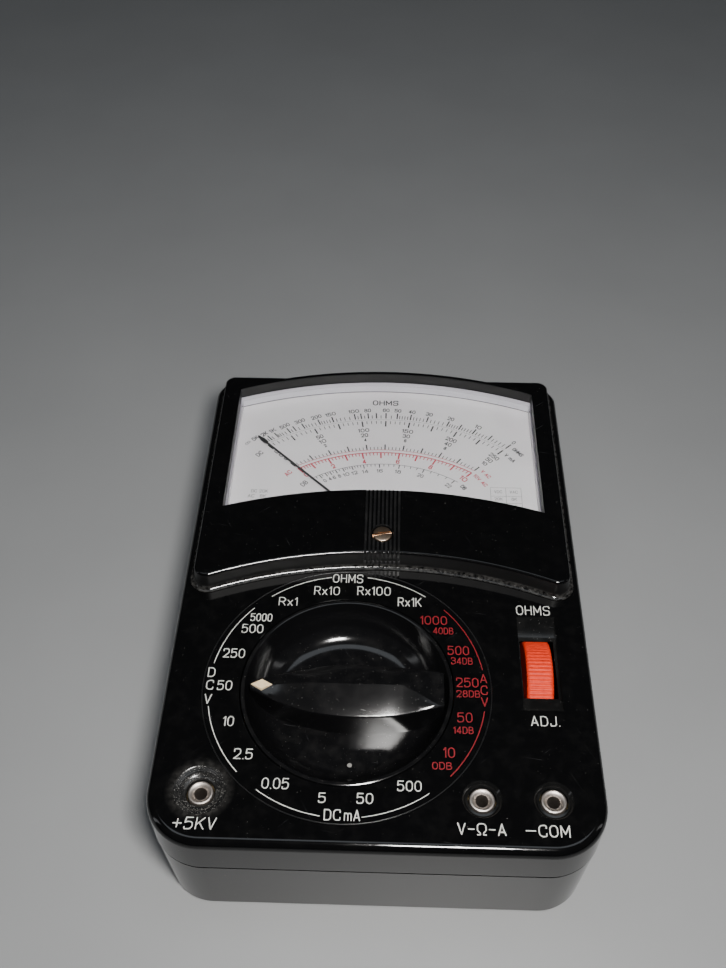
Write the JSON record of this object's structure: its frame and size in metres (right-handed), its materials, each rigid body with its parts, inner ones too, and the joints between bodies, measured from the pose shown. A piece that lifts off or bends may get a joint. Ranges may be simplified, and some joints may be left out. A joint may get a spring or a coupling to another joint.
{
  "type": "analog multimeter",
  "caption": "Pocket analog multimeter: black case with moving-coil meter behind a curved window, dished range knob, ohms wheel and jack sockets.",
  "frame": {"origin": "middle of the case in plan, on the surface that the back rests on", "axes": "+Z out of the panel; +Y from the jacks towards the meter head; +X to the right of someone reading the scale"},
  "size_m": [0.092, 0.133, 0.036],
  "materials": {
    "case_black": "glossy moulded, finely scratched",
    "cover_black": "glossy moulded",
    "knob_black": "satin gloss",
    "window_clear": "clear, polished",
    "scale_card": "printed, semi-matt",
    "pointer_black": "black lacquer",
    "inlay_cream": "filled",
    "wheel_orange": "semi-gloss",
    "nickel": "nickel plated",
    "brass": "bright",
    "copper_brass": "warm, worn",
    "steel": "zinc plated",
    "soft_iron": "ground",
    "magnet_alloy": "rough cast",
    "laminate": "paper laminate",
    "coil_copper": "enamelled copper wire",
    "component_body": "lacquer",
    "black_plastic": "moulded",
    "cell_wrap": "printed sleeve"
  },
  "bodies": {
    "case": {"battery_cell_back": "cell_wrap", "battery_cell_front": "cell_wrap", "battery_contact_minus": "nickel", "battery_contact_plus": "nickel", "battery_link": "nickel", "battery_tray": "laminate", "board_screw_1": "steel", "board_screw_2": "steel", "case_screw_1": "steel", "case_screw_2": "steel", "case_screw_3": "steel", "case_screw_4": "steel", "circuit_board": "laminate", "core_support": "brass", "detent_ball": "steel", "detent_spring": "steel", "front_case": "case_black", "iron_core": "soft_iron", "jack_5kv": "nickel", "jack_common": "nickel", "jack_nut_5kv": "brass", "jack_nut_common": "brass", "jack_nut_volt_ohm": "brass", "jack_volt_ohm": "nickel", "lower_bridge": "brass", "magnet": "magnet_alloy", "meter_cover": "cover_black", "meter_window": "window_clear", "movement_frame": "laminate", "movement_screw_left": "steel", "movement_screw_right": "steel", "pole_shoe_left": "soft_iron", "pole_shoe_right": "soft_iron", "pot_body": "black_plastic", "pot_bracket": "steel", "rear_case": "case_black", "rectifier": "black_plastic", "resistor_1": "component_body", "resistor_2": "component_body", "scale_plate": "scale_card", "scale_screw_left": "brass", "scale_screw_right": "brass", "shunt_bobbin": "coil_copper", "upper_bridge": "brass", "upper_jewel": "brass"},
    "selector": {"range_knob": "knob_black", "knob_inlay": "inlay_cream", "switch_shaft": "brass", "switch_rotor": "laminate", "wiper": "brass", "detent_wheel": "steel"},
    "adjuster": {"ohms_wheel": "wheel_orange"},
    "indicator": {"moving_coil": "coil_copper", "upper_staff": "steel", "lower_staff": "steel", "upper_hairspring": "brass", "lower_hairspring": "brass", "pointer": "pointer_black"},
    "zero_adjuster": {"zero_screw": "copper_brass"},
    "zero_arm": {"zero_lever": "steel"}
  },
  "joints": [
    {"name": "range_selector", "type": "hinge", "parent": "case", "child": "selector", "pos_m": [-0.00683, -0.0305, 0.021], "axis": [0, 0, 1], "continuous": true},
    {"name": "ohms_adjust", "type": "hinge", "parent": "case", "child": "adjuster", "pos_m": [0.03478, -0.02375, 0.0208], "axis": [1, 0, 0], "range_deg": [-135, 135]},
    {"name": "pointer_swing", "type": "hinge", "parent": "case", "child": "indicator", "pos_m": [0, 0.013, 0.02], "axis": [0, 0, 1], "range_deg": [-93, 1], "stiffness_Nm_per_rad": 0.0002},
    {"name": "zero_adjust", "type": "hinge", "parent": "case", "child": "zero_adjuster", "pos_m": [0, 0.0084, 0.035], "axis": [0, 0, 1], "range_deg": [-30, 30]},
    {"name": "zero_lever_swing", "type": "hinge", "parent": "case", "child": "zero_arm", "pos_m": [0, 0.013, 0.0326], "axis": [0, 0, 1], "range_deg": [-8.5, 8.5]}
  ],
  "couplings": [
    {"joint": "zero_lever_swing", "follows": "zero_adjust", "ratio": -0.27}
  ]
}
